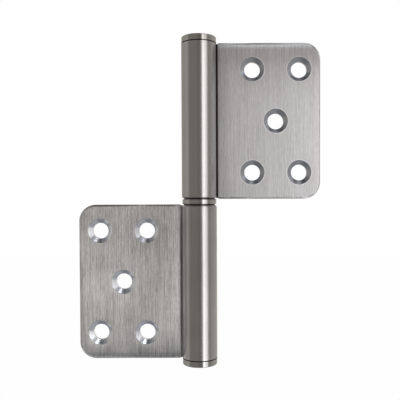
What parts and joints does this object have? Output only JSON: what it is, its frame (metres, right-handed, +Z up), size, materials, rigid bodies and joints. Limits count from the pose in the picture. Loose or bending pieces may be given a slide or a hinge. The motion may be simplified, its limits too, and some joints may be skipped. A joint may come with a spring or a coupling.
{
  "type": "lift-off flag hinge",
  "caption": "Brushed steel lift-off flag hinge: offset leaves with rolled knuckles and countersunk screw holes turn on a fixed pin over a washer, with capped barrel ends.",
  "frame": {"origin": "on the pin's axis, halfway between the knuckles, at the middle of the washer", "axes": "+Z up along the pin, +X towards the upper leaf's free edge, -Y out of the countersunk faces"},
  "size_m": [0.076, 0.011, 0.1024],
  "materials": {
    "leaf_steel": "stainless sheet, brushed along the pin",
    "washer_steel": "turned stainless steel, satin",
    "pin_steel": "ground stainless steel",
    "cap_steel": "turned stainless steel, satin"
  },
  "bodies": {
    "frame_side": {"lower_leaf": "leaf_steel", "hinge_pin": "pin_steel", "bottom_cap": "cap_steel"},
    "washer": {"thrust_washer": "washer_steel"},
    "door_side": {"upper_leaf": "leaf_steel", "top_cap": "cap_steel"}
  },
  "joints": [
    {"name": "swing", "type": "hinge", "parent": "frame_side", "child": "washer", "pos_m": [0, 0, 0], "axis": [0, 0, 1], "continuous": true},
    {"name": "lift_off", "type": "slide", "parent": "washer", "child": "door_side", "axis": [0, 0, 1], "range_m": [0, 0.045]}
  ]
}
